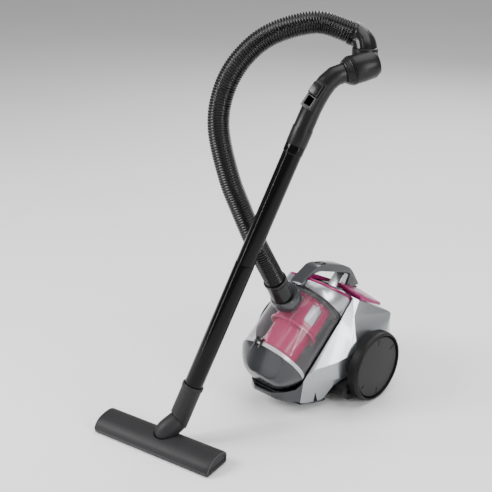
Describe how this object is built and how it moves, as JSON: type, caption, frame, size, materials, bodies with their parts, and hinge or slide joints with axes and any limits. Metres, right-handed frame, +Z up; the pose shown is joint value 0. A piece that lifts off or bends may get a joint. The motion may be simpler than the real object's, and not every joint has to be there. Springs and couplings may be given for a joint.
{
  "type": "canister vacuum cleaner",
  "caption": "Bagless canister vacuum cleaner with a clear dust bin, big rear wheels, ribbed hose, bent hand grip, two-piece wand and wide floor head.",
  "frame": {"origin": "on the floor under the middle of the whole cleaner, hose left out", "axes": "+Z up; the canister faces -Y, its rear axle runs along X, and the wand and floor head stand in front of it"},
  "size_m": [0.3572, 0.6038, 0.7763],
  "materials": {
    "silver_shell": "silver metallic moulded plastic, glossy",
    "grey_trim": "dark grey gloss plastic",
    "charcoal_plastic": "fine-textured charcoal plastic",
    "wheel_disc": "matt charcoal plastic",
    "head_plastic": "textured charcoal plastic",
    "grip_plastic": "satin black plastic",
    "black_plastic": "semi-gloss black plastic",
    "hose_black": "gloss black ribbed plastic",
    "wand_black": "high-gloss black tube",
    "tyre": "black soft rubber",
    "seal_rubber": "black rubber",
    "steel": "machined steel",
    "magenta": "magenta gloss plastic",
    "clear_cup": "clear moulded plastic",
    "pale_plastic": "pale plastic",
    "foam": "grey filter foam",
    "bristle": "black bristle strip"
  },
  "bodies": {
    "canister": {"body_shell": "silver_shell", "chin_bumper": "grey_trim", "chassis_base": "grey_trim", "axle_bracket_left": "charcoal_plastic", "axle_bracket_right": "charcoal_plastic", "axle_left": "steel", "axle_right": "steel", "motor_housing": "grey_trim", "exhaust_filter": "foam", "cord_outlet": "charcoal_plastic", "reel_spindle": "steel"},
    "rear_wheel_left": {"tyre_left": "tyre", "wheel_disc_left": "wheel_disc"},
    "rear_wheel_right": {"tyre_right": "tyre", "wheel_disc_right": "wheel_disc"},
    "caster_swivel": {"caster_fork": "charcoal_plastic", "caster_pin": "steel"},
    "caster_roller": {"caster_wheel": "tyre"},
    "motor_rotor": {"motor_rotor": "steel"},
    "cord_reel": {"cord_reel": "black_plastic"},
    "exhaust_grille": {"exhaust_grille": "charcoal_plastic"},
    "power_pedal": {"power_pedal": "magenta"},
    "rewind_pedal": {"rewind_pedal": "magenta"},
    "bin": {"bin_cup": "clear_cup", "bin_band": "pale_plastic", "base_cap": "grey_trim", "cap_hinge_pin": "steel", "cyclone_upper": "magenta", "cyclone_flange": "magenta", "cyclone_lower": "magenta", "filter_cartridge": "pale_plastic", "bin_lid": "silver_shell", "lid_trim": "magenta", "lid_seal": "seal_rubber", "pre_motor_filter": "foam", "carry_handle": "grey_trim", "handle_column": "silver_shell", "handle_foot": "charcoal_plastic", "inlet_elbow": "grey_trim"},
    "base_catch": {"base_catch": "black_plastic"},
    "release_button": {"release_button": "black_plastic"},
    "hose": {"hose_tube": "hose_black", "hose_sleeve": "black_plastic"},
    "hose_cuff": {"hose_cuff": "black_plastic"},
    "handle": {"hand_grip": "grip_plastic", "swivel_drum": "grip_plastic"},
    "suction_slider": {"suction_slider": "black_plastic"},
    "upper_tube": {"upper_tube": "wand_black"},
    "lower_tube": {"lower_tube": "wand_black"},
    "neck": {"neck_sleeve": "head_plastic"},
    "knuckle": {"neck_knuckle": "head_plastic"},
    "floor_head": {"head_shell": "head_plastic", "sole_plate": "grey_trim", "brush_strip_front": "bristle", "brush_strip_rear": "bristle", "tilt_pin": "steel"},
    "roller_left": {"roller_left": "tyre"},
    "roller_right": {"roller_right": "tyre"}
  },
  "joints": [
    {"name": "rear_wheel_left_roll", "type": "hinge", "parent": "canister", "child": "rear_wheel_left", "pos_m": [-0.0992, 0.1699, 0.073], "axis": [1, 0, 0], "continuous": true},
    {"name": "rear_wheel_right_roll", "type": "hinge", "parent": "canister", "child": "rear_wheel_right", "pos_m": [0.1308, 0.1699, 0.073], "axis": [1, 0, 0], "continuous": true},
    {"name": "caster_turn", "type": "hinge", "parent": "canister", "child": "caster_swivel", "pos_m": [0.0158, 0.0859, 0.025], "axis": [0, 0, 1], "continuous": true},
    {"name": "caster_roll", "type": "hinge", "parent": "caster_swivel", "child": "caster_roller", "pos_m": [0.0158, 0.0929, 0.011], "axis": [1, 0, 0], "continuous": true},
    {"name": "motor_spin", "type": "hinge", "parent": "canister", "child": "motor_rotor", "pos_m": [-0.0142, 0.2239, 0.092], "axis": [1, 0, 0], "continuous": true},
    {"name": "reel_spin", "type": "hinge", "parent": "canister", "child": "cord_reel", "pos_m": [0.0538, 0.2219, 0.086], "axis": [1, 0, 0], "continuous": true},
    {"name": "grille_lift_off", "type": "slide", "parent": "canister", "child": "exhaust_grille", "axis": [0, 1, 0], "range_m": [0, 0.02]},
    {"name": "power_pedal_press", "type": "hinge", "parent": "canister", "child": "power_pedal", "pos_m": [-0.0392, 0.1549, 0.214], "axis": [1, 0, 0], "range_deg": [-1.5, 0], "stiffness_Nm_per_rad": 6, "springref_deg": 0.57},
    {"name": "rewind_pedal_press", "type": "hinge", "parent": "canister", "child": "rewind_pedal", "pos_m": [0.0708, 0.1549, 0.214], "axis": [1, 0, 0], "range_deg": [-1.5, 0], "stiffness_Nm_per_rad": 6, "springref_deg": 0.57},
    {"name": "bin_lift_out", "type": "slide", "parent": "canister", "child": "bin", "axis": [0, -0.6018, 0.7986], "range_m": [0, 0.15]},
    {"name": "base_catch_pull", "type": "slide", "parent": "bin", "child": "base_catch", "axis": [0, -0.6018, 0.7986], "range_m": [0, 0.003], "stiffness_N_per_m": 600},
    {"name": "release_button_press", "type": "slide", "parent": "bin", "child": "release_button", "axis": [0, 0, -1], "range_m": [0, 0.0024], "stiffness_N_per_m": 800, "springref_m": -0.001},
    {"name": "hose_pull_out", "type": "slide", "parent": "bin", "child": "hose", "axis": [0, -0.5, 0.866], "range_m": [0, 0.05]},
    {"name": "cuff_swivel", "type": "hinge", "parent": "hose", "child": "hose_cuff", "pos_m": [0.0158, 0.0339, 0.229], "axis": [0, -0.5, 0.866], "continuous": true},
    {"name": "handle_swivel", "type": "hinge", "parent": "hose", "child": "handle", "pos_m": [0.1408, 0.0889, 0.717], "axis": [0, 0, 1], "range_deg": [-3, 75]},
    {"name": "suction_slide", "type": "slide", "parent": "handle", "child": "suction_slider", "axis": [0.2994, 0.4892, 0.8192], "range_m": [-0.017, 0]},
    {"name": "upper_tube_pull_off", "type": "slide", "parent": "handle", "child": "upper_tube", "axis": [-0.2048, -0.3346, -0.9198], "range_m": [0, 0.03]},
    {"name": "lower_tube_pull_off", "type": "slide", "parent": "upper_tube", "child": "lower_tube", "axis": [-0.2048, -0.3346, -0.9198], "range_m": [0, 0.03]},
    {"name": "neck_pull_off", "type": "slide", "parent": "lower_tube", "child": "neck", "axis": [-0.2048, -0.3346, -0.9198], "range_m": [0, 0.05]},
    {"name": "neck_swivel", "type": "hinge", "parent": "neck", "child": "knuckle", "pos_m": [-0.0262, -0.2121, 0.0486], "axis": [0.2998, 0.7904, 0.5342], "range_deg": [-60, 60]},
    {"name": "head_tilt", "type": "hinge", "parent": "knuckle", "child": "floor_head", "pos_m": [-0.0374, -0.24116, 0.022], "axis": [0.9851, 0.1719, 0], "range_deg": [-18, 10]},
    {"name": "roller_left_roll", "type": "hinge", "parent": "floor_head", "child": "roller_left", "pos_m": [-0.15928, -0.24659, 0.0045], "axis": [0.9851, 0.1719, 0], "continuous": true},
    {"name": "roller_right_roll", "type": "hinge", "parent": "floor_head", "child": "roller_right", "pos_m": [0.06828, -0.20688, 0.0045], "axis": [0.9851, 0.1719, 0], "continuous": true}
  ]
}
